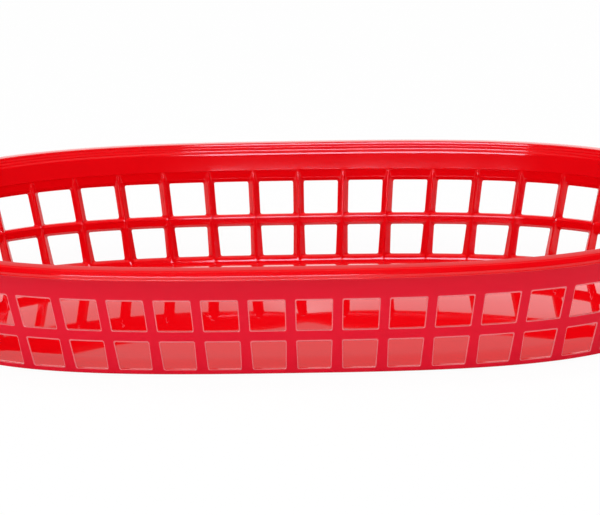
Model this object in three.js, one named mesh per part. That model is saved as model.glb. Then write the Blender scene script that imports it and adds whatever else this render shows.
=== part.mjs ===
// Oval fast food platter basket, injection moulded in one shot from red polypropylene.
//
// Millimetres, +Z up. The origin is the middle of the level band that the basket stands on.
// X runs along the long axis and Y across it.
//
// The real basket is a single moulding. Its regions are modelled as separate closed solids that
// meet face to face on level planes: the floor panel, the lower and the upper row of the openwork
// wall, which part along the ridge of the hoop between them, the plain band above the openings
// and the flanged rim.

import * as THREE from 'three';
import { mergeVertices } from 'three/addons/utils/BufferGeometryUtils.js';

// Overall size, over the rim
const basketLength = 266.7;
const basketWidth = 177.8;
const basketHeight = 38.1;

// Plan outline and lean of the wall
const outlinePower = 3.0;
const wallLeanDegrees = 14.7;
const rimOverhang = 5.7;

// Wall section: full depth at the ridges, a thin edge at the sides and head of each opening
const wallDepth = 2.2;
const openingEdge = 0.3;
const sillRounding = 0.75;
const headRise = 1.0;

// Openings: two rows, one column between each pair of bars
const columns = 46;
const barWidth = 3.6;
const barWidthAtFoot = 4.05;
const cornerRadius = 0.45;
const sillLip = 0.95;
const lowerOpeningHeight = 9.55;
const hoopHeight = 3.85;
const upperOpeningHeight = 10.5;
const lintelHeight = 4.15;

// Floor panel
const floorThickness = 1.0;
const floorCrown = 1.7;
const standingBand = 8;
const footRounding = 0.5;

// Rim: a domed flange that rolls over into a short skirt, and a throat of small steps inside it
const rimHeight = 2.75;
const flangeThickness = 1.4;
const flangeDrop = 2.9;
const throatRounding = 0.5;
const skirtHeight = 3.6;
const skirtThickness = 1.3;
const throatSteps = 3;
const stepRun = 1.05;
const stepDrop = 0.72;
const stepRiser = 0.4;
const stepRounding = 0.1;

// Facets
const stations = columns * 2;
const outlineSamples = 2400;
const crownRings = 4;
const cornerSteps = 1;
const sillSteps = 3;
const domeSteps = 6;
const domeUndersideSteps = 3;

// Heights that follow from the sizes above
const lowerSill = floorThickness + sillLip;
const lowerHead = lowerSill + lowerOpeningHeight;
const upperSill = lowerHead + hoopHeight;
const upperHead = upperSill + upperOpeningHeight;
const hoopRidge = upperSill - sillRounding;
const lintelTop = upperHead + lintelHeight;
const bandTop = basketHeight - rimHeight;

const lean = Math.tan(THREE.MathUtils.degToRad(wallLeanDegrees));
const footHalfLength = basketLength / 2 - rimOverhang - basketHeight * lean;
const footHalfWidth = basketWidth / 2 - rimOverhang - basketHeight * lean;

/** Point and outward normal of the foot outline, a superellipse, at an angle parameter. */
function footOutline(angle) {
  const c = Math.cos(angle);
  const s = Math.sin(angle);
  const x = footHalfLength * Math.sign(c) * Math.abs(c) ** (2 / outlinePower);
  const y = footHalfWidth * Math.sign(s) * Math.abs(s) ** (2 / outlinePower);
  const slopeX = (Math.sign(x) * Math.abs(x / footHalfLength) ** (outlinePower - 1)) / footHalfLength;
  const slopeY = (Math.sign(y) * Math.abs(y / footHalfWidth) ** (outlinePower - 1)) / footHalfWidth;
  return { point: new THREE.Vector2(x, y), normal: new THREE.Vector2(slopeX, slopeY).normalize() };
}

/** The foot outline moved outwards by a distance, measured along its length. */
class OffsetOutline {
  constructor(offset) {
    this.samples = [];
    let run = 0;
    for (let i = 0; i <= outlineSamples; i += 1) {
      const { point, normal } = footOutline((i / outlineSamples) * 2 * Math.PI);
      const place = point.clone().addScaledVector(normal, offset);
      if (i > 0) run += place.distanceTo(this.samples[i - 1].place);
      this.samples.push({ place, normal, run });
    }
    this.perimeter = run;
  }

  /** Place and normal at a share of the way round, where share 0 is the +X end. */
  at(share) {
    const wanted = (share - Math.floor(share)) * this.perimeter;
    let low = 0;
    let high = this.samples.length - 1;
    while (high - low > 1) {
      const middle = (low + high) >> 1;
      if (this.samples[middle].run <= wanted) low = middle;
      else high = middle;
    }
    const before = this.samples[low];
    const after = this.samples[high];
    const blend = (wanted - before.run) / (after.run - before.run);
    return {
      place: before.place.clone().lerp(after.place, blend),
      normal: before.normal.clone().lerp(after.normal, blend).normalize(),
    };
  }
}

const outlines = new Map();

/** The outline of the wall's outer face at a height, made once and kept. */
function wallOutline(z) {
  const key = z.toFixed(4);
  if (!outlines.has(key)) outlines.set(key, new OffsetOutline(z * lean));
  return outlines.get(key);
}

/** A point of the wall, from its share of the way round, its height and its depth inwards. */
function wallPoint(share, z, depth) {
  const { place, normal } = wallOutline(z).at(share);
  return new THREE.Vector3(place.x - normal.x * depth, place.y - normal.y * depth, z);
}

/** Width of one column along the wall's outer face at a height. */
function columnPitch(z) {
  return wallOutline(z).perimeter / columns;
}

/** A closed surface under construction: points and triangles, with the faces turned out. */
class Skin {
  constructor() {
    this.corners = [];
  }

  /** Adds a triangle, unless two of its corners are one point. */
  triangle(a, b, c) {
    if (a.equals(b) || b.equals(c) || c.equals(a)) return;
    this.corners.push(a, b, c);
  }

  /** Joins two closed loops of equal count, each going left to right as seen from its front. */
  strip(lower, upper) {
    lower.forEach((point, i) => {
      const next = (i + 1) % lower.length;
      this.triangle(point, lower[next], upper[next]);
      this.triangle(point, upper[next], upper[i]);
    });
  }

  /** Fan from a centre point over a closed loop. */
  fan(centre, loop) {
    loop.forEach((point, i) => this.triangle(centre, point, loop[(i + 1) % loop.length]));
  }

  geometry() {
    const soup = new THREE.BufferGeometry().setFromPoints(this.corners);
    return mergeVertices(soup, 1e-4);
  }
}

/** Ring swept round the basket from a closed section of points (outwards from the foot, height). */
function sweepSection(section) {
  const skin = new Skin();
  const loops = section.map(([outwards, z]) => Array.from(
    { length: stations },
    (_, i) => wallPoint(i / stations, z, z * lean - outwards),
  ));
  loops.forEach((loop, i) => skin.strip(loop, loops[(i + 1) % loops.length]));
  return skin.geometry();
}

/** Quarter of an ellipse about a centre, from its outer end up to its top. */
function quarterDome(centreX, centreZ, run, rise, steps) {
  return Array.from({ length: steps + 1 }, (_, i) => {
    const angle = (Math.PI / 2) * (i / steps);
    return [centreX + run * Math.cos(angle), centreZ + rise * Math.sin(angle)];
  });
}

/** Width of a bar at a height of the wall: a little wider in the lower row, down to the foot. */
function barWidthAt(z) {
  const height = THREE.MathUtils.clamp(z, lowerSill, lowerHead);
  return THREE.MathUtils.mapLinear(height, lowerSill, lowerHead, barWidthAtFoot, barWidth);
}

/** Flat outline of an opening with round corners: x along the wall from the column's middle. */
function openingOutline(row) {
  const corners = [
    { side: -1, z: row.sill + cornerRadius, start: 180 },
    { side: 0, z: row.sill },
    { side: 1, z: row.sill + cornerRadius, start: 270 },
    { side: 1, z: row.head - cornerRadius, start: 0 },
    { side: 0, z: row.head },
    { side: -1, z: row.head - cornerRadius, start: 90 },
  ];
  return corners.flatMap(({ side, z, start }) => {
    if (side === 0) return [new THREE.Vector2(0, z)];
    return Array.from({ length: cornerSteps + 1 }, (_, i) => {
      const angle = THREE.MathUtils.degToRad(start + (90 * i) / cornerSteps);
      const height = z + cornerRadius * Math.sin(angle);
      const halfWidth = (columnPitch(height) - barWidthAt(height)) / 2;
      return new THREE.Vector2(
        side * (halfWidth - cornerRadius) + cornerRadius * Math.cos(angle),
        height,
      );
    });
  });
}

/** The edge of a column's share of the wall, point for point with an opening's outline. */
function cellOutline(row) {
  return openingOutline(row).map((point) => {
    const z = point.y < (row.sill + row.head) / 2 ? row.bottom : row.top;
    return new THREE.Vector2((Math.sign(point.x) * columnPitch(z)) / 2, z);
  });
}

/** Point at a height and depth on the flank of the bar beside an outline's point, if it has one. */
function onFlank(point, z, depth) {
  const share = THREE.MathUtils.inverseLerp(openingEdge, wallDepth, depth);
  const halfWidth = (columnPitch(z) - barWidthAt(z)) / 2;
  const x = THREE.MathUtils.lerp(halfWidth, columnPitch(z) / 2, share);
  return { x: Math.sign(point.x) * x, z, depth };
}

/**
 * Inner surface of the wall round one opening, as loops from its edge to the ridges. The sides
 * flare out to the ridges of the bars. The sill is level and ends in a rounded edge. The head
 * rises inwards, and the face above it stands upright up to the next ridge.
 */
function innerLoops(row) {
  const sillDepth = wallDepth - sillRounding;
  const brow = row.head + headRise;
  const browDepth = wallDepth - (row.top - brow) * lean;
  return Array.from({ length: sillSteps }, (_, step) => {
    const angle = (Math.PI / 2) * (step / sillSteps);
    const z = THREE.MathUtils.lerp(row.bottom, row.sill, Math.cos(angle));
    const depth = THREE.MathUtils.lerp(sillDepth, wallDepth, Math.sin(angle));
    return openingOutline(row).map((point) => {
      if (point.y < row.sill + cornerRadius / 2) return onFlank(point, z, depth);
      if (point.y > row.head - cornerRadius / 2 && step > 0) return onFlank(point, brow, browDepth);
      return { x: point.x, z: point.y, depth: openingEdge };
    });
  });
}

/** Adds the wall round one opening: outer face, edge, and inner surface to the ridges. */
function addOpeningCell(skin, column, row) {
  const place = ({ x, z, depth }) => wallPoint(
    ((columns + column + x / columnPitch(z)) % columns) / columns,
    z,
    depth,
  );
  const atDepth = (outline, depth) => outline.map(({ x, y }) => place({ x, z: y, depth }));
  const loops = [
    atDepth(cellOutline(row), 0),
    atDepth(openingOutline(row), 0),
    ...innerLoops(row).map((loop) => loop.map(place)),
    atDepth(cellOutline(row), wallDepth),
  ];
  loops.slice(1).forEach((loop, i) => skin.strip(loops[i], loop));
}

/** One row of the openwork wall, from the middle of the bar below to that of the bar above. */
function openworkRow(row) {
  const skin = new Skin();
  for (let column = 0; column < columns; column += 1) addOpeningCell(skin, column, row);
  const ringAt = (z, depth) => Array.from(
    { length: stations },
    (_, i) => wallPoint(i / stations, z, depth),
  );
  skin.strip(ringAt(row.bottom, wallDepth), ringAt(row.bottom, 0));
  skin.strip(ringAt(row.top, 0), ringAt(row.top, wallDepth));
  return skin.geometry();
}

/** Lower row of openings, standing on the floor panel. */
function lowerRow() {
  return openworkRow({ bottom: floorThickness, sill: lowerSill, head: lowerHead, top: hoopRidge });
}

/** Upper row of openings, under the plain band. */
function upperRow() {
  return openworkRow({ bottom: hoopRidge, sill: upperSill, head: upperHead, top: lintelTop });
}

/** Plain band between the lintel and the rim. */
function upperBand() {
  return sweepSection([
    [lintelTop * lean, lintelTop],
    [bandTop * lean, bandTop],
    [bandTop * lean - wallDepth, bandTop],
    [lintelTop * lean - wallDepth, lintelTop],
  ]);
}

/** Rim: the stepped throat that opens out from the band, the domed flange and its skirt. */
function rim() {
  const throatTop = basketHeight * lean;
  const edge = throatTop + rimOverhang;
  const skirtInside = edge - skirtThickness;
  const skirtFoot = basketHeight - skirtHeight;
  const skirtRounding = skirtThickness / 4;
  const domeFoot = basketHeight - flangeDrop;
  const domeInside = throatTop + throatRounding;
  const flangeUnder = basketHeight - flangeThickness;
  const dome = quarterDome(domeInside, domeFoot, edge - domeInside, flangeDrop, domeSteps);
  const underside = quarterDome(
    domeInside,
    domeFoot,
    skirtInside - domeInside,
    flangeDrop - flangeThickness,
    domeUndersideSteps,
  );
  const throat = Array.from({ length: throatSteps }, (_, i) => {
    const x = throatTop - i * stepRun;
    const z = basketHeight - stepRounding - i * stepDrop;
    return [
      [x, z],
      [x - stepRounding, z - stepRounding],
      [x - stepRounding * 2, z - stepRiser],
    ];
  });
  return sweepSection([
    [bandTop * lean, bandTop],
    [flangeUnder * lean, flangeUnder],
    ...underside.toReversed(),
    [skirtInside, skirtFoot + skirtRounding],
    [skirtInside + skirtRounding, skirtFoot],
    [edge - skirtRounding, skirtFoot],
    [edge, skirtFoot + skirtRounding],
    ...dome,
    ...throat.flat(),
    [bandTop * lean - wallDepth, bandTop],
  ]);
}

/** Floor panel: a thin sheet with a level band to stand on, crowned up in the middle. */
function floorPanel() {
  const ringAt = (z, depth, scale, level) => Array.from({ length: stations }, (_, i) => {
    const point = wallPoint(i / stations, z, depth);
    return new THREE.Vector3(point.x * scale, point.y * scale, level);
  });
  const crownAt = (share) => floorCrown * (1 - share * share);
  const shares = Array.from({ length: crownRings }, (_, i) => 1 - i / crownRings);
  const underside = shares.map((share) => ringAt(0, standingBand, share, crownAt(share)));
  const top = shares.map((share) => (
    ringAt(floorThickness, wallDepth, share, floorThickness + crownAt(share))
  ));
  const loops = [
    ...underside.toReversed(),
    ringAt(0, footRounding, 1, 0),
    ringAt(footRounding, 0, 1, footRounding),
    ringAt(floorThickness, 0, 1, floorThickness),
    ...top,
  ];
  const skin = new Skin();
  loops.slice(1).forEach((loop, i) => skin.strip(loops[i], loop));
  skin.fan(new THREE.Vector3(0, 0, crownAt(0)), loops[0].toReversed());
  skin.fan(new THREE.Vector3(0, 0, floorThickness + crownAt(0)), loops.at(-1));
  return skin.geometry();
}

const redPlastic = { color: 0xd8202c, roughness: 0.32, metalness: 0 };

/** Named mesh of one region of the moulding. */
function region(name, geometry) {
  const mesh = new THREE.Mesh(geometry, new THREE.MeshStandardMaterial(redPlastic));
  mesh.name = name;
  return mesh;
}

const basket = new THREE.Group();
basket.add(
  region('floor_panel', floorPanel()),
  region('lower_row', lowerRow()),
  region('upper_row', upperRow()),
  region('upper_band', upperBand()),
  region('rim', rim()),
);

export default basket;
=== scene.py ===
"""Oval openwork serving basket in glossy red plastic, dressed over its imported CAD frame.

The real basket is one moulding. Whatever runs round it is modelled straight on the bench, in
millimetres, as a strip with x along the wall, y inwards from the wall's outer face and z up. The
strip is then wrapped round the oval foot, in metres, where its two ends close into a ring.
"""

import logging
import math
from contextlib import contextmanager
from dataclasses import dataclass
from enum import Enum
from typing import Callable, Iterator, Sequence

import bmesh
import bpy
import numpy as np
from mathutils import Matrix, Vector


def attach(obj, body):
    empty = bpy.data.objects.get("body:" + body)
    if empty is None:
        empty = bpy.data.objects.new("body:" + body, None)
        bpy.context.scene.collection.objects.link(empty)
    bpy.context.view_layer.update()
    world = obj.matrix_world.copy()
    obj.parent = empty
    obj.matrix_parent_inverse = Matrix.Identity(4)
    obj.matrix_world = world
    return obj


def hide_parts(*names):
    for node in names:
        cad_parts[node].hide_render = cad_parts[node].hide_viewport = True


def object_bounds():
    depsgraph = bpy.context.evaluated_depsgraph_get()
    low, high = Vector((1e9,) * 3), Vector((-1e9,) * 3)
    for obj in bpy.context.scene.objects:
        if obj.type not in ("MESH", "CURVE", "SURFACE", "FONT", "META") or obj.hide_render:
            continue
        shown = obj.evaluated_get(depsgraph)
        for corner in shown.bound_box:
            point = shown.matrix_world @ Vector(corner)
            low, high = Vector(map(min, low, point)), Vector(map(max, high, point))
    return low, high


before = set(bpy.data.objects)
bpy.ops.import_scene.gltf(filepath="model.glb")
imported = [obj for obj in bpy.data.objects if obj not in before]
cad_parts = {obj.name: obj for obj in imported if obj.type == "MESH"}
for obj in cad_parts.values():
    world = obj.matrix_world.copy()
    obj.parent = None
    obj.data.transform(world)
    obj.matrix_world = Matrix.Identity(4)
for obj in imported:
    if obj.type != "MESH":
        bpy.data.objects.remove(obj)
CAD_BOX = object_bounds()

MM = 0.001

# Bench lengths that count as nothing, HAIR where corners may lie close together
HAIR = 0.0001
NEAR = 0.001

log = logging.getLogger("basket")
Test = Callable[[Vector], bool]


class Part(Enum):
    """What a selection in edit mode is made of."""

    EDGES = "edges"
    FACES = "faces"


# Bench tools


def clear_bench() -> None:
    """Leaves edit mode and deselects everything."""
    if bpy.context.mode != "OBJECT":
        bpy.ops.object.mode_set(mode="OBJECT")
    bpy.ops.object.select_all(action="DESELECT")


def take_up(piece: bpy.types.Object) -> None:
    """Selects one piece alone and makes it the active one.

    Args:
        piece: The object that the next operator works on.
    """
    clear_bench()
    piece.select_set(True)
    bpy.context.view_layer.objects.active = piece


def settle(name: str) -> bpy.types.Object:
    """Names the primitive that was just added, and applies its place, turn and size.

    Args:
        name: The new object's name.

    Returns:
        The object, at the origin, unturned and unscaled.
    """
    made = bpy.context.object
    made.name = name
    bpy.ops.object.transform_apply(location=True, rotation=True, scale=True)
    return made


@contextmanager
def editing(piece: bpy.types.Object) -> Iterator[None]:
    """Opens a piece in edit mode with nothing selected, and closes it again.

    Args:
        piece: The mesh object to shape.
    """
    take_up(piece)
    bpy.ops.object.mode_set(mode="EDIT")
    bpy.ops.mesh.select_all(action="DESELECT")
    yield
    bpy.ops.object.mode_set(mode="OBJECT")


def pick(piece: bpy.types.Object, part: Part, test: Test) -> None:
    """Selects edges or faces of the piece in edit mode by their place.

    Args:
        piece: The mesh object that is open in edit mode.
        part: What to select.
        test: Says of a point whether it is wanted. An edge or face needs all its corners.
    """
    bpy.context.tool_settings.mesh_select_mode = (False, part is Part.EDGES, part is Part.FACES)
    mesh = bmesh.from_edit_mesh(piece.data)
    for corner in mesh.verts:
        corner.select = False
    mesh.select_flush(False)
    for item in getattr(mesh, part.value):
        if all(test(corner.co) for corner in item.verts):
            item.select_set(True)
    bmesh.update_edit_mesh(piece.data)


def block(name: str, low: Sequence[float], high: Sequence[float]) -> bpy.types.Object:
    """A cube primitive set to its size and place.

    Args:
        name: The new object's name.
        low: Lowest corner on the bench, in millimetres.
        high: Highest corner on the bench, in millimetres.

    Returns:
        The block, unturned and unscaled.
    """
    clear_bench()
    middle = [(a + b) / 2 for a, b in zip(low, high)]
    size = [b - a for a, b in zip(low, high)]
    bpy.ops.mesh.primitive_cube_add(size=1, location=middle, scale=size)
    return settle(name)


def apply_modifiers(piece: bpy.types.Object) -> None:
    """Applies all modifiers of a piece, in their order.

    Args:
        piece: The mesh object that carries them.
    """
    take_up(piece)
    for modifier in list(piece.modifiers):
        bpy.ops.object.modifier_apply(modifier=modifier.name)


def cut_out(piece: bpy.types.Object, cutter: bpy.types.Object) -> None:
    """Cuts a shape out of a piece.

    Args:
        piece: The piece that is cut.
        cutter: The shape, which is cleared away afterwards.
    """
    modifier = piece.modifiers.new("cut", "BOOLEAN")
    modifier.operation = "DIFFERENCE"
    modifier.solver = "EXACT"
    modifier.object = cutter
    apply_modifiers(piece)
    bpy.data.objects.remove(cutter)


def repeat_along(piece: bpy.types.Object, count: int, step: float) -> None:
    """Repeats a piece along x and merges the corners where the copies meet.

    Args:
        piece: The piece to repeat.
        count: How many there are at the end.
        step: Distance from one to the next.
    """
    modifier = piece.modifiers.new("repeat", "ARRAY")
    modifier.count = count
    modifier.use_relative_offset = False
    modifier.use_constant_offset = True
    modifier.constant_offset_displace = (step, 0, 0)
    modifier.use_merge_vertices = True
    modifier.merge_threshold = NEAR / 2
    apply_modifiers(piece)


def soften_edges(piece: bpy.types.Object, width: float, over_degrees: float) -> None:
    """Rounds the sharper edges of a piece.

    Args:
        piece: The piece to soften.
        width: Width of the rounding.
        over_degrees: Edges that turn by more than this are rounded.
    """
    modifier = piece.modifiers.new("soft edges", "BEVEL")
    modifier.width = width
    modifier.segments = 2
    modifier.limit_method = "ANGLE"
    modifier.angle_limit = math.radians(over_degrees)
    apply_modifiers(piece)


def cut_plane(place: Sequence[float], facing: Sequence[float], clear: bool = False) -> None:
    """Adds a flat cut through the whole piece that is open in edit mode.

    Args:
        place: A point of the cutting plane.
        facing: Which way the plane faces.
        clear: Whether all that lies on that side is cleared away.
    """
    bpy.ops.mesh.select_all(action="SELECT")
    bpy.ops.mesh.bisect(plane_co=place, plane_no=facing, clear_outer=clear, threshold=HAIR)


def slice_along(piece: bpy.types.Object, places: Sequence[float]) -> None:
    """Adds cuts straight through a piece, across x.

    Args:
        piece: The piece to slice.
        places: Where along x each cut lies.
    """
    with editing(piece):
        for place in places:
            cut_plane((place, 0, 0), (1, 0, 0))


def close_ring(piece: bpy.types.Object) -> None:
    """Merges the doubled corners of a wrapped strip and turns its faces outwards.

    Args:
        piece: The strip, in metres.
    """
    with editing(piece):
        bpy.ops.mesh.select_all(action="SELECT")
        bpy.ops.mesh.remove_doubles(threshold=2 * NEAR * MM)
        bpy.ops.mesh.normals_make_consistent(inside=False)


def shade(piece: bpy.types.Object, crease_degrees: float) -> None:
    """Shades a piece smoothly, with flat faces kept flat.

    Args:
        piece: The piece to shade.
        crease_degrees: The shading breaks at edges that turn by more than this.
    """
    take_up(piece)
    bpy.ops.object.shade_smooth_by_angle(angle=math.radians(crease_degrees))
    modifier = piece.modifiers.new("even shading", "WEIGHTED_NORMAL")
    modifier.keep_sharp = True
    apply_modifiers(piece)


# Shape of the basket


@dataclass
class FlaredOval:
    """The oval foot and the flare of the wall, which every strip is wrapped round.

    Lengths are in millimetres. The foot is a superellipse, and the wall leans out from it.
    """

    length: float
    width: float
    height: float
    power: float = 3.0
    lean_degrees: float = 14.7
    rim_overhang: float = 5.7
    columns: int = 46
    samples: int = 4800

    @property
    def lean(self) -> float:
        """Outward run of the wall for each millimetre of height."""
        return math.tan(math.radians(self.lean_degrees))

    @property
    def half_length(self) -> float:
        """Half the length of the foot."""
        return self.length / 2 - self.rim_overhang - self.height * self.lean

    @property
    def half_width(self) -> float:
        """Half the width of the foot."""
        return self.width / 2 - self.rim_overhang - self.height * self.lean

    def outline(self, offset: float) -> tuple[np.ndarray, np.ndarray, np.ndarray]:
        """The foot outline moved outwards.

        Args:
            offset: How far it is moved out.

        Returns:
            Points, outward normals and the distance run along the outline.
        """
        angle = np.linspace(0, 2 * math.pi, self.samples + 1)
        circle = np.stack([np.cos(angle), np.sin(angle)], axis=1)
        unit = np.sign(circle) * np.abs(circle) ** (2 / self.power)
        half = np.array([self.half_length, self.half_width])
        slope = np.sign(unit) * np.abs(unit) ** (self.power - 1) / half
        normal = slope / np.linalg.norm(slope, axis=1, keepdims=True)
        points = unit * half + normal * offset
        run = np.concatenate([[0], np.cumsum(np.linalg.norm(np.diff(points, axis=0), axis=1))])
        return points, normal, run

    def pitch(self, z: float) -> float:
        """Width of one column of the wall's outer face at a height."""
        return float(self.outline(z * self.lean)[2][-1]) / self.columns

    def place(self, share: np.ndarray, z: float, depth: np.ndarray) -> np.ndarray:
        """Points of the wall at one height.

        Args:
            share: Shares of the way round, 0 at the +X end.
            z: The height.
            depth: Depths inwards from the wall's outer face.

        Returns:
            The points in plan.
        """
        points, normal, run = self.outline(z * self.lean)
        wanted = np.mod(share, 1) * run[-1]
        plan = np.stack([np.interp(wanted, run, points[:, axis]) for axis in (0, 1)], axis=1)
        facing = np.stack([np.interp(wanted, run, normal[:, axis]) for axis in (0, 1)], axis=1)
        facing /= np.linalg.norm(facing, axis=1, keepdims=True)
        return plan - facing * depth[:, None]

    def wrap(self, strip: bpy.types.Object, step: float, start: float = 0.0) -> None:
        """Wraps a straight strip round the basket, from millimetres to metres.

        Args:
            strip: The strip, with x along the wall, y inwards and z up.
            step: Length on the bench of one column.
            start: Share of the way round at which x is 0.
        """
        mesh = strip.data
        bench = np.zeros(len(mesh.vertices) * 3)
        mesh.vertices.foreach_get("co", bench)
        bench = bench.reshape(-1, 3)
        levels = np.round(bench[:, 2], decimals=3)
        placed = np.empty_like(bench)
        placed[:, 2] = bench[:, 2]
        for level in np.unique(levels):
            here = levels == level
            share = bench[here, 0] / step / self.columns + start
            placed[here, :2] = self.place(share, float(level), bench[here, 1])
        mesh.vertices.foreach_set("co", (placed * MM).ravel())
        mesh.update()


class WallFinish(Enum):
    """Material index of each of the wall's finishes, two of which carry painted light in their
    colour: a sheen on the satin and a highlight on the openings' outer edges.
    """

    POLISHED = 0
    # The satin outer face has a painted sheen in its colour.
    SATIN_PAINTED_SHEEN = 1
    # The openings' outer edges get a pale pink that is a painted highlight.
    PAINTED_HIGHLIGHT_EDGE = 2


@dataclass
class OpeningRow:
    """One row of openings: the ridges under and over it, and the opening's sill and head.

    The top depth is how far in the upper ridge lies. Sizes are in millimetres.
    """

    bottom: float
    sill: float
    head: float
    top: float
    top_depth: float


@dataclass
class Stage:
    """Bottom and top of an opening at one depth into the wall, before its corners are rounded."""

    depth: float
    bottom: float
    top: float


@dataclass
class OpenworkWall:
    """The flared wall from the foot to the rim, with two rows of openings and a plain band.

    Each opening has a finely rounded edge on the outside. Inwards its sides flare out to the
    ridges of the bars, its sill stays almost level and ends in a rounded edge, and its head rises
    to a brow, over which the wall stands upright. Sizes are in millimetres.
    """

    oval: FlaredOval

    # Heights
    foot_level: float = 0.3
    floor_level: float = 1.0
    lower_sill: float = 1.95
    lower_head: float = 11.5
    hoop_ridge: float = 14.6
    upper_sill: float = 15.35
    upper_head: float = 25.85
    lintel_top: float = 30.0
    band_top: float = 34.9

    # Section of the openwork: a ridge is round over a share of its radius, and the turns, in
    # degrees, say where round stretches have their corners
    depth: float = 2.2
    hoop_depth: float = 2.14
    ridge_radius: float = 0.5
    ridge_share: float = 0.36
    ridge_turns: tuple[float, ...] = (0, 13, 26, 38, 50)
    least_ridge: float = 0.04
    sill_rounding: float = 0.9
    sill_turns: tuple[float, ...] = (18, 36, 54, 72, 90)
    sill_fall: float = 0.05
    head_rise: float = 1.0

    # Outer edge of an opening: its rounding, where in that a corner lies, how much of it head and
    # sill take, and the round corners of the opening itself
    edge: float = 0.3
    edge_middle: float = 0.3
    head_edge: float = 1.8
    sill_edge: float = 1 / 3
    corner_radius: float = 0.45
    corner_steps: int = 4

    # Bars and foot
    bar_width: float = 3.6
    bar_width_at_foot: float = 4.05
    foot_rounding: float = 0.5
    foot_steps: int = 4

    # Softening of all edges that turn by more than an angle
    soft_edge: float = 0.2
    soft_over_degrees: float = 28.0

    # Inner face: thinning ribs, the lintel's recess, and the hollow of the band over its crease
    thinning: float = 0.28
    thinning_start: float = 17.0
    rib_ridge: tuple[float, float] = (0.3, 0.9)
    lintel_recess: float = 0.3
    recess_run: float = 1.0
    lintel_cuts: tuple[float, ...] = (0.3, 0.6)
    crease: float = 0.35
    band_hollow: float = 0.1
    hollow_power: float = 1.8
    hollow_steps: int = 8
    band_cuts: tuple[float, ...] = (0.25, 0.45, 0.65, 0.85)

    # Facets and finish, and how far in the painted highlight on the openings' outer edges reaches
    cuts: int = 8
    shade_degrees: float = 32.0
    satin_depth: float = 0.02
    painted_highlight_spare: float = 0.03

    def step(self) -> float:
        """Length on the bench of one column."""
        return self.oval.pitch((self.lower_sill + self.upper_head) / 2)

    def bar_at(self, z: float) -> float:
        """Width of a bar, which grows towards the foot.

        Args:
            z: The height.

        Returns:
            The width on the basket.
        """
        low, high = self.lower_sill, self.lower_head
        share = min(max((z - low) / (high - low), 0), 1)
        return self.bar_width_at_foot + (self.bar_width - self.bar_width_at_foot) * share

    def half_opening(self, z: float) -> float:
        """Half an opening's width at a height, on the bench."""
        pitch = self.oval.pitch(z)
        return (pitch - self.bar_at(z)) / 2 * self.step() / pitch

    def half_width(self, z: float, depth: float) -> float:
        """Half the width of an opening at a height and a depth into the wall.

        Args:
            z: The height.
            depth: Depth inwards from the outer face. The opening flares to the bars' ridges.

        Returns:
            The half width, on the bench.
        """
        half = self.half_opening(z)
        radius = self.ridge_radius
        start = self.depth - radius * self.ridge_share
        if depth <= self.edge:
            return half + self.edge_growth(depth)
        if depth >= start:
            below = radius - (self.depth - min(depth, self.depth))
            return self.step() / 2 - max(math.sqrt(radius**2 - below**2), self.least_ridge)
        below = radius * (1 - self.ridge_share)
        join = self.step() / 2 - math.sqrt(radius**2 - below**2)
        return half + (join - half) * (depth - self.edge) / (start - self.edge)

    def edge_growth(self, depth: float) -> float:
        """How much the fine rounding of its outer edge widens an opening at a depth."""
        below = self.edge - min(max(depth, 0), self.edge)
        return self.edge - math.sqrt(self.edge**2 - below**2)

    def stages(self, row: OpeningRow) -> list[Stage]:
        """Heights of an opening, from outside the wall to beyond its inner face.

        Args:
            row: Heights of the opening and its cell.

        Returns:
            The stages, in the order of their depth.
        """
        brow = row.head + self.head_rise
        brow_depth = row.top_depth - (row.top - brow) * self.oval.lean
        rounding_start = self.hoop_depth - self.sill_rounding
        outside, inside = -1.0, self.depth + 0.5
        depths = {outside, 0.0, self.edge * self.edge_middle, self.edge}
        depths |= {brow_depth, row.top_depth, inside}
        for turn in self.sill_turns:
            depths.add(rounding_start + self.sill_rounding * math.sin(math.radians(turn)))
        for turn in self.ridge_turns:
            depths.add(self.depth - self.ridge_radius * (1 - math.cos(math.radians(turn))))
        found = []
        for depth in sorted({round(value, 4) for value in depths}):
            growth = self.edge_growth(depth)
            over = min(max(depth - rounding_start, 0) / self.sill_rounding, 1)
            if over > 1 - HAIR:
                bottom = row.bottom
            else:
                level = row.sill + self.sill_fall * max(depth, 0) / self.hoop_depth
                bottom = level - (level - row.bottom) * (1 - math.sqrt(1 - over**2))
                bottom -= growth * self.sill_edge
            heights = [row.head, brow, row.top]
            top = float(np.interp(depth, [self.edge, brow_depth, row.top_depth], heights))
            top += growth * self.head_edge
            found.append(Stage(depth, bottom, top))
        return found

    def opening_cutter(self, row: OpeningRow) -> bpy.types.Object:
        """The shape that is cut out of a cell for one opening.

        Args:
            row: Heights of the opening and its cell.

        Returns:
            A cutter that stands proud of both faces of the cell.
        """
        stages = self.stages(row)
        first = stages[0]
        outside = first.depth - 0.1
        cutter = block("cutter", (-1, outside, first.bottom), (1, first.depth, first.top))
        with editing(cutter):
            for before, after in zip(stages, stages[1:]):
                pick(cutter, Part.FACES, lambda p, y=before.depth: abs(p.y - y) < HAIR)
                bpy.ops.mesh.extrude_region_move(
                    TRANSFORM_OT_translate={"value": (0, after.depth - before.depth, 0)}
                )
                tall = (after.top - after.bottom) / (before.top - before.bottom)
                centre = (0, after.depth, before.bottom)
                bpy.ops.transform.resize(value=(1, 1, tall), center_override=centre)
                bpy.ops.transform.translate(value=(0, 0, after.bottom - before.bottom))

            # So far the cutter reaches from -1 to 1 along x, which its half width now multiplies
            mesh = bmesh.from_edit_mesh(cutter.data)
            for corner in mesh.verts:
                corner.co.x *= self.half_width(corner.co.z, corner.co.y)
            for edge in mesh.edges:
                ends = [corner.co for corner in edge.verts]
                edge.select_set(abs(ends[0].y - ends[1].y) > HAIR)
            bmesh.update_edit_mesh(cutter.data)
            steps = self.corner_steps
            bpy.ops.mesh.bevel(offset=self.corner_radius, segments=steps, affect="EDGES")
        return cutter

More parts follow.
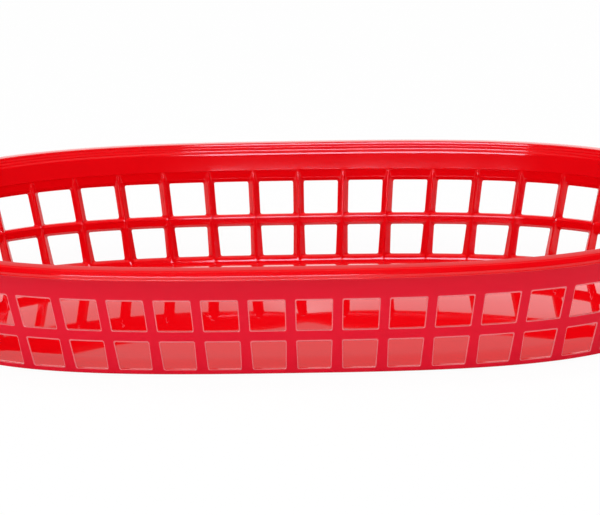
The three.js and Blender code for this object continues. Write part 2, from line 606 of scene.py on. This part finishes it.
    def cell(self) -> bpy.types.Object:
        """One column of the wall, with both its openings, its sides open.

        Returns:
            The cell, sliced so that it can follow the curve of the wall.
        """
        step = self.step()
        half = step / 2
        over_band = self.band_top + 1
        column = block("openwork_wall", (-half, 0, 0), (half, self.depth, over_band))
        with editing(column):
            pick(column, Part.EDGES, lambda p: p.y < NEAR and p.z < NEAR)
            steps = self.foot_steps
            bpy.ops.mesh.bevel(offset=self.foot_rounding, segments=steps, affect="EDGES")
        lower = (self.foot_level, self.lower_sill, self.lower_head, self.hoop_ridge)
        upper = (self.hoop_ridge, self.upper_sill, self.upper_head, self.lintel_top)
        for heights, top_depth in ((lower, self.hoop_depth), (upper, self.depth)):
            cut_out(column, self.opening_cutter(OpeningRow(*heights, top_depth)))
        with editing(column):
            pick(column, Part.FACES, lambda p: abs(abs(p.x) - half) < NEAR)
            bpy.ops.mesh.delete(type="FACE")

        # The middle one of three columns is kept, whose edges are softened right up to its sides
        repeat_along(column, 3, step)
        soften_edges(column, self.soft_edge, self.soft_over_degrees)
        with editing(column):
            cut_plane((half, 0, 0), (-1, 0, 0), clear=True)
            cut_plane((half + step, 0, 0), (1, 0, 0), clear=True)
            cut_plane((0, 0, self.lintel_top - self.crease), (0, 0, 1))
            cut_plane((0, 0, self.lintel_top + self.crease), (0, 0, 1))
            cut_plane((0, 0, self.band_top), (0, 0, 1), clear=True)
        self.hollow_inside(column)
        slice_along(column, [half + step * i / self.cuts for i in range(1, self.cuts)])
        return column

    def hollow_inside(self, column: bpy.types.Object) -> None:
        """Shapes the inner face: ribs that thin upwards, an upright lintel and a hollow band.

        Args:
            column: One column of the wall, between the middles of two bars.
        """
        seat, first_bar = self.lintel_top, self.step() / 2
        last_bar = first_bar * 3
        brow = self.upper_head + self.head_rise
        tall = self.band_top - seat
        levels = [brow + (seat - brow) * share for share in self.lintel_cuts]
        levels += [seat + tall * share for share in self.band_cuts]
        with editing(column):
            for level in levels:
                cut_plane((0, 0, level), (0, 0, 1))
        slice_along(column, [first_bar + away for away in self.rib_ridge])
        slice_along(column, [last_bar - away for away in self.rib_ridge])
        up = [i / self.hollow_steps for i in range(self.hollow_steps + 1)]
        heights = [self.thinning_start, seat - self.crease] + [seat + tall * part for part in up]
        hollow = [self.band_hollow * (1 - part**self.hollow_power) for part in up]
        thinned = [0, self.thinning] + hollow
        recess = [0, self.lintel_recess, self.lintel_recess, 0]
        places = [self.upper_head - self.recess_run, self.upper_head, brow, seat]
        for corner in column.data.vertices:
            share = min(max(corner.co.y / self.depth, 0), 1)
            from_bar = min(corner.co.x - first_bar, last_bar - corner.co.x)
            between = float(np.interp(from_bar, self.rib_ridge, (0, 1)))
            taken = float(np.interp(corner.co.z, heights, thinned))
            taken += between * float(np.interp(corner.co.z, places, recess))
            corner.co.y -= share * taken

    def build(self) -> bpy.types.Object:
        """The whole wall, wrapped and shaded.

        Returns:
            The wall, at the origin, in metres.
        """
        wall = self.cell()
        repeat_along(wall, self.oval.columns, self.step())
        self.mark_outside(wall)
        self.oval.wrap(wall, self.step(), -1 / self.oval.columns)
        close_ring(wall)
        with editing(wall):
            pick(wall, Part.EDGES, lambda p: abs(p.z / MM - self.band_top) < NEAR)
            bpy.ops.mesh.bridge_edge_loops()
        close_ring(wall)
        shade(wall, self.shade_degrees)
        return wall

    def mark_outside(self, wall: bpy.types.Object) -> None:
        """Gives the outer face its satin finish, whose colour carries a painted sheen, and paints
        a highlight on the openings' outer edges.

        Args:
            wall: The wall, still straight on the bench.
        """
        edge_depth = self.edge + self.painted_highlight_spare
        lowest = self.floor_level + self.edge
        for face in wall.data.polygons:
            # Faces of the outer face get the satin finish, whose colour carries a painted sheen.
            if face.center.y < self.satin_depth:
                face.material_index = WallFinish.SATIN_PAINTED_SHEEN.value
            # Faces just inside the outer edge of an opening get the pale pink painted highlight.
            elif face.center.y < edge_depth and face.center.z > lowest:
                face.material_index = WallFinish.PAINTED_HIGHLIGHT_EDGE.value


@dataclass
class RimMoulding:
    """The rim: a throat of small rounded steps, a domed flange, and a skirt that ends in a bead.

    Its section is given by how far each point lies outside the wall's outer line at the top, and
    by its height. Sizes are in millimetres.
    """

    oval: FlaredOval
    band_top: float
    wall_depth: float
    top: float = 38.1

    # Flange: its thickness and inner corner, then its top, which falls, turns over and stands up
    flange: float = 1.4
    inner_radius: float = 1.4
    fall_radius: float = 25.1
    fall_degrees: float = 8.0
    shoulder_radius: float = 1.2
    shoulder_degrees: float = 58.0
    shoulder_run: float = 0.624
    turn_radius: float = 0.7

    # Skirt, with the bead at its foot
    skirt_foot: float = 34.75
    skirt: float = 1.3
    chamfer: float = 0.3
    bead: float = 0.3
    bead_degrees: float = 53.0

    # Throat: centres of the steps' round edges, and the hollow before each, seen from its centre
    throat_rounding: float = 0.5
    throat_turn: tuple[float, float] = (105, 168)
    steps: tuple[tuple[float, float], ...] = ((-0.72, 36.87), (-1.78, 36.17))
    step_rounding: float = 0.38
    step_turn: tuple[float, float] = (108, 170)
    step_hollow: tuple[tuple[float, float], ...] = ((0.67, 0.64), (0.58, 0.57), (0.47, 0.53))
    last_hollow: tuple[tuple[float, float], ...] = ((-2.2, 36.12), (-2.24, 36.02))
    crease_rounding: float = 1.2
    crease_start_degrees: float = 115.0
    crease_rise: float = 0.25

    # Facets
    arc_step_degrees: float = 12.0
    cuts: int = 8
    shade_degrees: float = 30.0

    def section(self) -> list[tuple[float, float]]:
        """Corners of the section, counter-clockwise.

        Returns:
            Pairs of how far outwards and how high.
        """
        lean = self.oval.lean
        edge = self.oval.rim_overhang
        outer = (self.band_top - self.top) * lean
        under = self.top - self.flange
        inside = edge - self.skirt
        points = [(outer, self.band_top), ((under - self.top) * lean, under)]
        radius = self.inner_radius
        points += self.arc((inside - radius, under - radius), radius, 90, 0)
        points += [(inside, self.skirt_foot + self.chamfer)]
        points += [(inside + self.chamfer, self.skirt_foot)]
        bead = (edge - self.bead, self.skirt_foot + self.bead)
        points += self.arc(bead, self.bead, -90, 0)[:-1]
        points += self.arc(bead, self.bead, 0, self.bead_degrees)
        points += self.flange_top()
        radius = self.throat_rounding
        points += self.arc((radius, self.top - radius), radius, *self.throat_turn)
        for x, z in self.steps:
            points += [(x + out, z + up) for out, up in self.step_hollow]
            points += self.arc((x, z), self.step_rounding, *self.step_turn)
        points += self.last_hollow
        facing = 180 - self.oval.lean_degrees
        seat = self.band_top + self.crease_rise
        inner = (seat - self.top) * lean - self.wall_depth
        centre = self.arc_centre((inner, seat), self.crease_rounding, facing)
        points += self.arc(centre, self.crease_rounding, self.crease_start_degrees, facing)
        points += [(outer - self.wall_depth, self.band_top)]
        return points

    def flange_top(self) -> list[tuple[float, float]]:
        """Top of the flange, from the skirt's outer face in to the start of the throat.

        Returns:
            Points that fall gently, turn over a shoulder and end upright.
        """
        fall, steep = 90 - self.fall_degrees, 90 - self.shoulder_degrees
        place = (self.throat_rounding, self.top)
        points = []
        falling, shoulder = (self.fall_radius, 90, fall), (self.shoulder_radius, fall, steep)
        for radius, start, end in (falling, shoulder):
            points += self.arc(self.arc_centre(place, radius, start), radius, start, end)
            place = points[-1]
        slope = math.tan(math.radians(self.shoulder_degrees))
        place = (place[0] + self.shoulder_run, place[1] - self.shoulder_run * slope)
        centre = self.arc_centre(place, self.turn_radius, steep)
        points += self.arc(centre, self.turn_radius, steep, 0)
        return points[::-1]

    @staticmethod
    def arc_centre(
        place: tuple[float, float], radius: float, degrees: float
    ) -> tuple[float, float]:
        """Centre of the arc that passes a place of the section at an angle in degrees."""
        a = math.radians(degrees)
        return place[0] - radius * math.cos(a), place[1] - radius * math.sin(a)

    def arc(
        self, centre: tuple[float, float], radius: float, start: float, end: float
    ) -> list[tuple[float, float]]:
        """Points of an arc in the section.

        Args:
            centre: Centre of the arc.
            radius: Its radius.
            start: Angle at its first point, in degrees.
            end: Angle at its last point, in degrees.

        Returns:
            The points. There are at least three.
        """
        steps = max(2, round(abs(end - start) * radius**0.5 / self.arc_step_degrees))
        angles = [math.radians(start + (end - start) * i / steps) for i in range(steps + 1)]
        return [
            (centre[0] + radius * math.cos(a), centre[1] + radius * math.sin(a)) for a in angles
        ]

    def build(self) -> bpy.types.Object:
        """The rim, drawn as a section, drawn out straight, wrapped and shaded.

        Returns:
            The rim, at the origin, in metres.
        """
        points = self.section()
        clear_bench()
        upright = (math.pi / 2, 0, 0)
        bpy.ops.mesh.primitive_circle_add(vertices=len(points), radius=1, rotation=upright)
        rim = settle("rim_moulding")
        lean = self.oval.lean
        for corner, (outwards, z) in zip(rim.data.vertices, points):
            corner.co = (0, (z - self.top) * lean - outwards, z)
        step = self.oval.pitch(self.top) / self.cuts
        with editing(rim):
            pick(rim, Part.EDGES, lambda p: True)
            bpy.ops.mesh.extrude_region_move(TRANSFORM_OT_translate={"value": (step, 0, 0)})
        repeat_along(rim, self.oval.columns * self.cuts, step)
        self.oval.wrap(rim, step * self.cuts)
        close_ring(rim)
        shade(rim, self.shade_degrees)
        return rim


@dataclass
class FloorSheet:
    """The thin solid floor, crowned up to the middle and very slightly warped as it cooled.

    Its edge is hidden in the wall, and a cove and a shallow gutter run along the wall's inner
    face. Sizes are in millimetres.
    """

    oval: FlaredOval
    thickness: float = 1.0
    clearance: float = 0.03
    standing_band: float = 8.0

    # Along the wall: depths from the wall's outer face, the cove and the gutter
    edge_depth: float = 1.6
    wall_depth: float = 2.08
    cove: float = 0.3
    gutter: float = 0.55
    gutter_reach: float = 16.0

    # Rise of the middle: the crown, its warp along, across and askew, and the gate's low mound
    crown: float = 1.7
    crown_inset: float = 1.5
    warp: tuple[float, float, float] = (0.55, 0.65, -1.05)
    gate_height: float = 0.5
    gate_place: tuple[float, float] = (4.0, -11.0)
    gate_core: float = 3.0
    gate_spread: float = 13.0
    gate_fade: float = 4.0

    # Facets
    cells: int = 120
    crowding: float = 1.6
    shade_degrees: float = 30.0

    def build(self) -> bpy.types.Object:
        """The floor, from a grid that is drawn out to the oval and crowned.

        Returns:
            The floor, at the origin, in metres.
        """
        clear_bench()
        cells = self.cells
        bpy.ops.mesh.primitive_grid_add(x_subdivisions=cells, y_subdivisions=cells, size=2)
        floor = settle("floor_sheet")
        mesh = floor.data
        flat = np.zeros(len(mesh.vertices) * 3)
        mesh.vertices.foreach_get("co", flat)
        flat = flat.reshape(-1, 3)
        ring = np.max(np.abs(flat[:, :2]), axis=1)
        share = self.share_round(flat[:, 0], flat[:, 1], ring)
        edge = self.oval.place(share, self.thickness, np.full(len(share), self.edge_depth))
        facing = self.oval.place(share, self.thickness, np.zeros(len(share))) - edge
        facing /= np.linalg.norm(facing, axis=1, keepdims=True)
        inwards = (1 - ring) ** self.crowding
        plan = edge * (1 - inwards[:, None])
        depth = self.edge_depth + np.sum(edge * facing, axis=1) * inwards
        crowned = self.rise(plan[:, 0], plan[:, 1])
        away = np.clip(self.cove - (depth - self.wall_depth), 0, self.cove)
        gutter = self.gutter * (1 - self.ease((depth - self.wall_depth) / self.gutter_reach))
        top = self.thickness + crowned - gutter + self.cove - np.sqrt(self.cove**2 - away**2)
        placed = np.stack([plan[:, 0], plan[:, 1], top], axis=1)
        mesh.vertices.foreach_set("co", (placed * MM).ravel())
        mesh.update()
        modifier = floor.modifiers.new("thickness", "SOLIDIFY")
        modifier.thickness = self.thickness * MM
        modifier.offset = -1
        apply_modifiers(floor)
        free = self.ease((depth - self.standing_band) / self.standing_band)
        underside = self.clearance + crowned * free
        for corner, (along, across), z in zip(floor.data.vertices[len(plan):], plan, underside):
            corner.co = (along * MM, across * MM, z * MM)
        close_ring(floor)
        shade(floor, self.shade_degrees)
        return floor

    @staticmethod
    def ease(run: np.ndarray) -> np.ndarray:
        """Rises smoothly from 0 to 1 as a run goes from 0 to 1."""
        part = np.clip(run, 0, 1)
        return part * part * (3 - 2 * part)

    @staticmethod
    def share_round(x: np.ndarray, y: np.ndarray, ring: np.ndarray) -> np.ndarray:
        """Shares of the way round the oval for points of the square grid.

        Args:
            x: Places along the basket, from -1 to 1.
            y: Places across it, from -1 to 1.
            ring: Half the side of the square that each point lies on.

        Returns:
            The shares, 0 at the +X end. Each side of the square takes a quarter.
        """
        least, spare = 1e-9, 1e-6
        side = np.maximum(ring, least)
        nearly = side * (1 - spare)
        return np.select(
            [x >= nearly, y >= nearly, x <= -nearly],
            [y / side / 8, (2 - x / side) / 8, (4 - y / side) / 8],
            (6 + x / side) / 8,
        )

    def rise(self, x: np.ndarray, y: np.ndarray) -> np.ndarray:
        """Height of the floor over its edge.

        Args:
            x: Places along the basket.
            y: Places across it.

        Returns:
            The rise, nowhere below 0.
        """
        power = self.oval.power
        u = x / (self.oval.half_length - self.crown_inset)
        v = y / (self.oval.half_width - self.crown_inset)
        inside = 1 - np.clip(np.abs(u) ** power + np.abs(v) ** power, 0, 1) ** (2 / power)
        to_gate = (x - self.gate_place[0]) ** 2 + (y - self.gate_place[1]) ** 2
        away = np.sqrt(to_gate + self.gate_core**2)
        gate = self.gate_height * np.exp(-away / self.gate_spread)
        along, across, askew = self.warp
        crown = self.crown + along * u + across * v + askew * u * v
        return np.maximum(crown * inside + gate * np.minimum(inside * self.gate_fade, 1), 0)


# Finishes


def add_node(
    tree: bpy.types.NodeTree, kind: str, inputs: dict[str | int, object], **settings: object
) -> bpy.types.Node:
    """Adds a shader node to a tree.

    Args:
        tree: The tree of a material, the world or a node group.
        kind: The node's type, without the word ShaderNode.
        inputs: What goes into its sockets. A socket is linked and any other value is set.
        settings: The node's own settings.

    Returns:
        The node.
    """
    made = tree.nodes.new("ShaderNode" + kind)
    for name, value in settings.items():
        setattr(made, name, value)
    for socket, value in inputs.items():
        if isinstance(value, bpy.types.NodeSocket):
            tree.links.new(value, made.inputs[socket])
        else:
            made.inputs[socket].default_value = value
    return made


def reckon(
    tree: bpy.types.NodeTree, operation: str, first: bpy.types.NodeSocket, second: object
) -> bpy.types.NodeSocket:
    """Adds a math node on a socket and a socket or number, and gives its result."""
    return add_node(tree, "Math", {0: first, 1: second}, operation=operation).outputs[0]


@dataclass(frozen=True)
class RedPlastic:
    """Red moulded polypropylene, polished or satin by the mould's surface, with painted light in
    the colour of some copies.

    Wave and grain are the heights of the skin's unevenness, in millimetres.
    """

    name: str
    colour: tuple[float, float, float]
    roughness: float
    specular: float
    wave: float
    grain: float = 0.0
    ior: float = 1.49

    def material(self, skin: bpy.types.NodeTree) -> bpy.types.Material:
        """Makes the material.

        Args:
            skin: The node group of the moulded skin.

        Returns:
            The finished material.
        """
        made = bpy.data.materials.new(self.name)
        made.use_nodes = True
        tree = made.node_tree
        inputs = {
            "Place": add_node(tree, "TexCoord", {}).outputs["Object"],
            "Colour": (*self.colour, 1),
            "Roughness": self.roughness,
            "Wave": self.wave,
            "Grain": self.grain,
        }
        surface = add_node(tree, "Group", inputs, node_tree=skin).outputs
        bump = add_node(tree, "Bump", {"Height": surface["Height"], "Distance": MM})
        shader = tree.nodes["Principled BSDF"]
        shader.inputs["IOR"].default_value = self.ior
        shader.inputs["Specular IOR Level"].default_value = self.specular
        tree.links.new(surface["Colour"], shader.inputs["Base Color"])
        tree.links.new(surface["Roughness"], shader.inputs["Roughness"])
        tree.links.new(bump.outputs["Normal"], shader.inputs["Normal"])
        return made


def moulded_skin(uneven_gloss: float = 0.03, uneven_colour: float = 0.06) -> bpy.types.NodeTree:
    """Node group of a moulded surface: slow waves of shrinkage, fine grain and an uneven gloss.

    Args:
        uneven_gloss: How far the roughness differs between the roughest and the glossiest patch.
        uneven_colour: How much the patches darken the colour, as a share.

    Returns:
        The group, with Colour, Roughness and Height going out.
    """
    group = bpy.data.node_groups.new("moulded skin", "ShaderNodeTree")
    face = group.interface
    face.new_socket("Place", in_out="INPUT", socket_type="NodeSocketVector")
    face.new_socket("Colour", in_out="INPUT", socket_type="NodeSocketColor")
    for name in ("Roughness", "Wave", "Grain"):
        face.new_socket(name, in_out="INPUT", socket_type="NodeSocketFloat")
    face.new_socket("Colour", in_out="OUTPUT", socket_type="NodeSocketColor")
    for name in ("Roughness", "Height"):
        face.new_socket(name, in_out="OUTPUT", socket_type="NodeSocketFloat")
    given = group.nodes.new("NodeGroupInput").outputs
    leave = group.nodes.new("NodeGroupOutput").inputs

    def noise(scale: float, detail: float) -> bpy.types.NodeSocket:
        """A noise texture over the piece, at a scale per metre."""
        inputs = {"Vector": given["Place"], "Scale": scale, "Detail": detail}
        return add_node(group, "TexNoise", inputs).outputs["Fac"]

    wave = reckon(group, "MULTIPLY", noise(scale=35, detail=1), given["Wave"])
    grain = reckon(group, "MULTIPLY", noise(scale=2600, detail=2), given["Grain"])
    patches = noise(scale=120, detail=2)
    uneven = reckon(group, "MULTIPLY", reckon(group, "SUBTRACT", patches, 0.5), uneven_gloss)
    mix = {"Factor": uneven_colour, "A": given["Colour"], "B": patches}
    darker = add_node(group, "Mix", mix, data_type="RGBA", blend_type="MULTIPLY")
    group.links.new(darker.outputs["Result"], leave["Colour"])
    group.links.new(reckon(group, "ADD", given["Roughness"], uneven), leave["Roughness"])
    group.links.new(reckon(group, "ADD", wave, grain), leave["Height"])
    return group


MIRROR = RedPlastic(
    "mirror_red", (0.84, 0.0012, 0.0045), roughness=0.03, specular=0.5, wave=0.02
)
POLISHED = RedPlastic(
    "polished_red", (0.82, 0.0010, 0.0045), roughness=0.085, specular=0.5, wave=0.03
)
# The outer face's satin roughness is real; the extra green and blue in its colour are a painted
# sheen, the milky reflection of the white table.
SATIN_PAINTED_SHEEN = RedPlastic(
    "satin_red_painted_sheen", (0.84, 0.003, 0.026), roughness=0.34, specular=0.16, wave=0.03, grain=0.004
)
# Pale pink on the openings' outer edges: a painted highlight, the bright lines where their
# rounded edges catch the light.
PAINTED_HIGHLIGHT_EDGE = RedPlastic(
    "painted_highlight_edge_red", (0.92, 0.20, 0.22), roughness=0.25, specular=0.5, wave=0.02
)


# Studio


class Use(Enum):
    """What a lamp is for."""

    LIGHT = "light"
    GLOSS = "gloss"


@dataclass(frozen=True)
class SoftBox:
    """A rectangular lamp that looks at the basket.

    Azimuth 0 is the camera's side, and azimuths grow to the camera's right. Angles are in degrees
    and lengths in metres.
    """

    name: str
    azimuth: float
    elevation: float
    distance: float
    width: float
    height: float
    brightness: float
    use: Use
    tint: tuple[float, float, float] = (1.0, 1.0, 1.0)

    def hang(self) -> None:
        """Makes the lamp and turns it to the basket."""
        data = bpy.data.lights.new(self.name, "AREA")
        data.color = self.tint
        data.shape = "RECTANGLE"
        data.size, data.size_y = self.width, self.height
        data.energy = self.brightness * math.pi * self.width * self.height
        lamp = bpy.data.objects.new(self.name, data)
        bpy.context.scene.collection.objects.link(lamp)
        a, e = math.radians(self.azimuth), math.radians(self.elevation)
        away = Vector((math.sin(a) * math.cos(e), -math.cos(a) * math.cos(e), math.sin(e)))
        lamp.location = away * self.distance
        lamp.rotation_euler = away.to_track_quat("Z", "Y").to_euler()
        lamp.visible_glossy = self.use is Use.GLOSS
        lamp.visible_diffuse = self.use is Use.LIGHT


@dataclass
class Studio:
    """White table, surroundings, backdrop, lamps and camera.

    The camera's angles are in radians and its lengths in millimetres. It aims at a place that is
    given by how far to the right of the basket's middle it lies, and by its height. The table and
    the backdrop are in metres, and so is how far the camera sees.
    """

    # Camera
    camera_yaw: float = 0.021
    camera_elevation: float = 0.249
    camera_roll: float = -0.021
    camera_distance: float = 2545.9
    aim: tuple[float, float] = (1.683, 19.564)
    focal_pixels: float = 7819.4
    picture_width: int = 600
    sensor_width: float = 36.0
    sight: float = 50.0

    # Lamps
    lamps: tuple[SoftBox, ...] = (
        SoftBox(
            "left_front_window", azimuth=-15, elevation=29.3, distance=1.6, width=0.92,
            height=0.63, brightness=10.0, use=Use.GLOSS, tint=(1.0, 0.95, 1.2),
        ),
        SoftBox(
            "overhead_glow", azimuth=0, elevation=86, distance=1.7, width=2.4,
            height=1.0, brightness=0.4, use=Use.GLOSS,
        ),
        SoftBox(
            "left_front_box", azimuth=-18, elevation=40, distance=1.6, width=1.2,
            height=0.88, brightness=2.3, use=Use.LIGHT,
        ),
        SoftBox(
            "overhead_box", azimuth=10, elevation=82, distance=1.7, width=1.6,
            height=1.2, brightness=2.5, use=Use.LIGHT,
        ),
    )

    # Table, and the share of plain white in what the camera sees of it
    table_size: float = 8.0
    table_white: float = 0.9
    table_glow: float = 0.95

    # Backdrop, whose glow fades to another over its upper edge
    backdrop_distance: float = 1.18
    backdrop_height: float = 0.36
    backdrop_width: float = 2.3
    backdrop_glow: float = 1.2
    backdrop_edge: float = 0.11
    backdrop_edge_glow: float = 0.45

    # Surroundings: light on the basket, then the gloss's glow by height and away from the camera
    fill: float = 0.62
    glow_by_height: tuple[tuple[float, float], ...] = (
        (0.0, 1.0), (0.2, 0.50), (0.31, 0.48), (0.46, 0.42), (0.64, 0.2), (1.0, 0.08),
    )
    glow_away: tuple[float, float] = (0.3, 0.85)
    least_glow: float = 0.02

    def lay_table(self) -> None:
        """The white table, which keeps only a trace of the basket's shadow."""
        clear_bench()
        bpy.ops.mesh.primitive_plane_add(size=self.table_size)
        table = settle("table")
        made = self.bare_material("white_table")
        tree, white = made.node_tree, self.table_white
        ray = add_node(tree, "LightPath", {}).outputs["Is Camera Ray"]
        part = reckon(tree, "MULTIPLY", ray, self.table_glow)
        matt = add_node(tree, "BsdfDiffuse", {"Color": (white, white, white, 1)}).outputs[0]
        glow = add_node(tree, "Emission", {}).outputs[0]
        mix = add_node(tree, "MixShader", {0: part, 1: matt, 2: glow}).outputs[0]
        add_node(tree, "OutputMaterial", {"Surface": mix})
        table.data.materials.append(made)

    @staticmethod
    def bare_material(name: str) -> bpy.types.Material:
        """Makes a material that has no nodes yet.

        Args:
            name: The material's name.

        Returns:
            The material.
        """
        made = bpy.data.materials.new(name)
        made.use_nodes = True
        made.node_tree.nodes.clear()
        return made

    def stand_backdrop(self) -> None:
        """A low white screen behind the basket, which only shows in the gloss."""
        clear_bench()
        bpy.ops.mesh.primitive_plane_add(size=1, rotation=(math.pi / 2, 0, 0))
        screen = settle("backdrop")
        for corner in screen.data.vertices:
            corner.co.x *= self.backdrop_width
            corner.co.y = self.backdrop_distance
            corner.co.z = (corner.co.z + 0.5) * self.backdrop_height
        made = self.bare_material("white_screen")
        tree = made.node_tree
        place = add_node(tree, "TexCoord", {}).outputs["Object"]
        inputs = {
            "Value": add_node(tree, "SeparateXYZ", {0: place}).outputs["Z"],
            "From Min": self.backdrop_height - self.backdrop_edge,
            "From Max": self.backdrop_height,
            "To Min": self.backdrop_glow,
            "To Max": self.backdrop_edge_glow,
        }
        fade = add_node(tree, "MapRange", inputs, interpolation_type="SMOOTHSTEP").outputs[0]
        glow = add_node(tree, "Emission", {"Strength": fade}).outputs[0]
        add_node(tree, "OutputMaterial", {"Surface": glow})
        screen.data.materials.append(made)
        screen.visible_camera = False
        screen.visible_diffuse = False
        screen.visible_shadow = False

    def surround(self) -> None:
        """The world: white for the camera, even light for the basket, and a room for its gloss.

        That room is light low down beyond the basket, and dark above and on the camera's side.
        """
        world = bpy.data.worlds.new("studio")
        bpy.context.scene.world = world
        world.use_nodes = True
        tree = world.node_tree
        tree.nodes.clear()
        ray = add_node(tree, "LightPath", {}).outputs
        way = add_node(tree, "TexCoord", {}).outputs["Generated"]
        split = add_node(tree, "SeparateXYZ", {0: way}).outputs
        by_height = add_node(tree, "ValToRGB", {0: split["Z"]})
        ramp = by_height.color_ramp
        while len(ramp.elements) < len(self.glow_by_height):
            ramp.elements.new(0.5)
        for element, (height, glow) in zip(ramp.elements, self.glow_by_height):
            element.position = height
            element.color = (glow, glow, glow, 1)
        inputs = {
            "Value": split["Y"],
            "From Min": self.glow_away[0],
            "From Max": self.glow_away[1],
            "To Min": self.least_glow,
            "To Max": 1.0,
        }
        away = add_node(tree, "MapRange", inputs).outputs[0]
        room = reckon(tree, "MULTIPLY", by_height.outputs["Color"], away)
        mix = {"Factor": ray["Is Glossy Ray"], "A": self.fill, "B": room}
        lit = add_node(tree, "Mix", mix).outputs["Result"]
        mix = {"Factor": ray["Is Camera Ray"], "A": lit, "B": 1.0}
        seen = add_node(tree, "Mix", mix).outputs["Result"]
        light = add_node(tree, "Background", {"Strength": seen}).outputs[0]
        add_node(tree, "OutputWorld", {"Surface": light})

    def set_camera(self) -> None:
        """The camera at the photograph's viewing angle and framing."""
        yaw, elevation, roll = self.camera_yaw, self.camera_elevation, self.camera_roll
        level = Vector((math.cos(yaw), math.sin(yaw), 0))
        ahead = Vector((-math.sin(yaw), math.cos(yaw), 0))
        look = math.cos(elevation) * ahead - Vector((0, 0, math.sin(elevation)))
        upright = level.cross(look)
        right = math.cos(roll) * level + math.sin(roll) * upright
        up = math.cos(roll) * upright - math.sin(roll) * level
        data = bpy.data.cameras.new("camera")
        data.sensor_width = self.sensor_width
        data.lens = self.focal_pixels / self.picture_width * self.sensor_width
        data.clip_end = self.sight
        camera = bpy.data.objects.new("camera", data)
        bpy.context.scene.collection.objects.link(camera)
        place = level * self.aim[0] + Vector((0, 0, self.aim[1])) - look * self.camera_distance
        turn = Matrix((right, up, -look)).transposed().to_4x4()
        camera.matrix_world = Matrix.Translation(place * MM) @ turn
        bpy.context.scene.camera = camera

    def build(self) -> None:
        """Sets up the whole studio."""
        self.lay_table()
        self.stand_backdrop()
        self.surround()
        for lamp in self.lamps:
            lamp.hang()
        self.set_camera()
        bpy.context.scene.view_settings.view_transform = "Standard"


def dress(
    piece: bpy.types.Object, nodes: Sequence[str], finishes: Sequence[bpy.types.Material]
) -> None:
    """Gives a piece its finishes and its body, hides the CAD nodes that it stands for, and
    reports it.

    Args:
        piece: The finished mesh.
        nodes: Names of the CAD nodes that it replaces.
        finishes: Its materials, in the order of its material indices.
    """
    for finish in finishes:
        piece.data.materials.append(finish)
    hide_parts(*nodes)
    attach(piece, "root")
    triangles = sum(len(face.vertices) - 2 for face in piece.data.polygons)
    log.info("%s: %d triangles", piece.name, triangles)


def main() -> None:
    """Builds the basket and the studio, and reports each piece."""
    logging.basicConfig(level=logging.INFO, format="%(name)s: %(message)s")
    size = [(high - low) / MM for low, high in zip(*CAD_BOX)]
    oval = FlaredOval(*size)
    skin = moulded_skin()
    # The last two finishes carry painted light: a sheen on the satin outer face and a highlight
    # on the openings' outer edges.
    finishes = (MIRROR, POLISHED, SATIN_PAINTED_SHEEN, PAINTED_HIGHLIGHT_EDGE)
    mirror, polished, satin_painted_sheen, painted_highlight_edge = (kind.material(skin) for kind in finishes)
    wall = OpenworkWall(oval)
    rim = RimMoulding(oval, wall.band_top, wall.depth)
    wall_finishes = {
        WallFinish.POLISHED: polished,
        WallFinish.SATIN_PAINTED_SHEEN: satin_painted_sheen,
        WallFinish.PAINTED_HIGHLIGHT_EDGE: painted_highlight_edge,
    }
    wall_nodes = ["lower_row", "upper_row", "upper_band"]
    dress(wall.build(), wall_nodes, [wall_finishes[finish] for finish in WallFinish])
    dress(rim.build(), ["rim"], [polished])
    dress(FloorSheet(oval).build(), ["floor_panel"], [mirror])
    Studio().build()


if __name__ == "__main__":
    main()
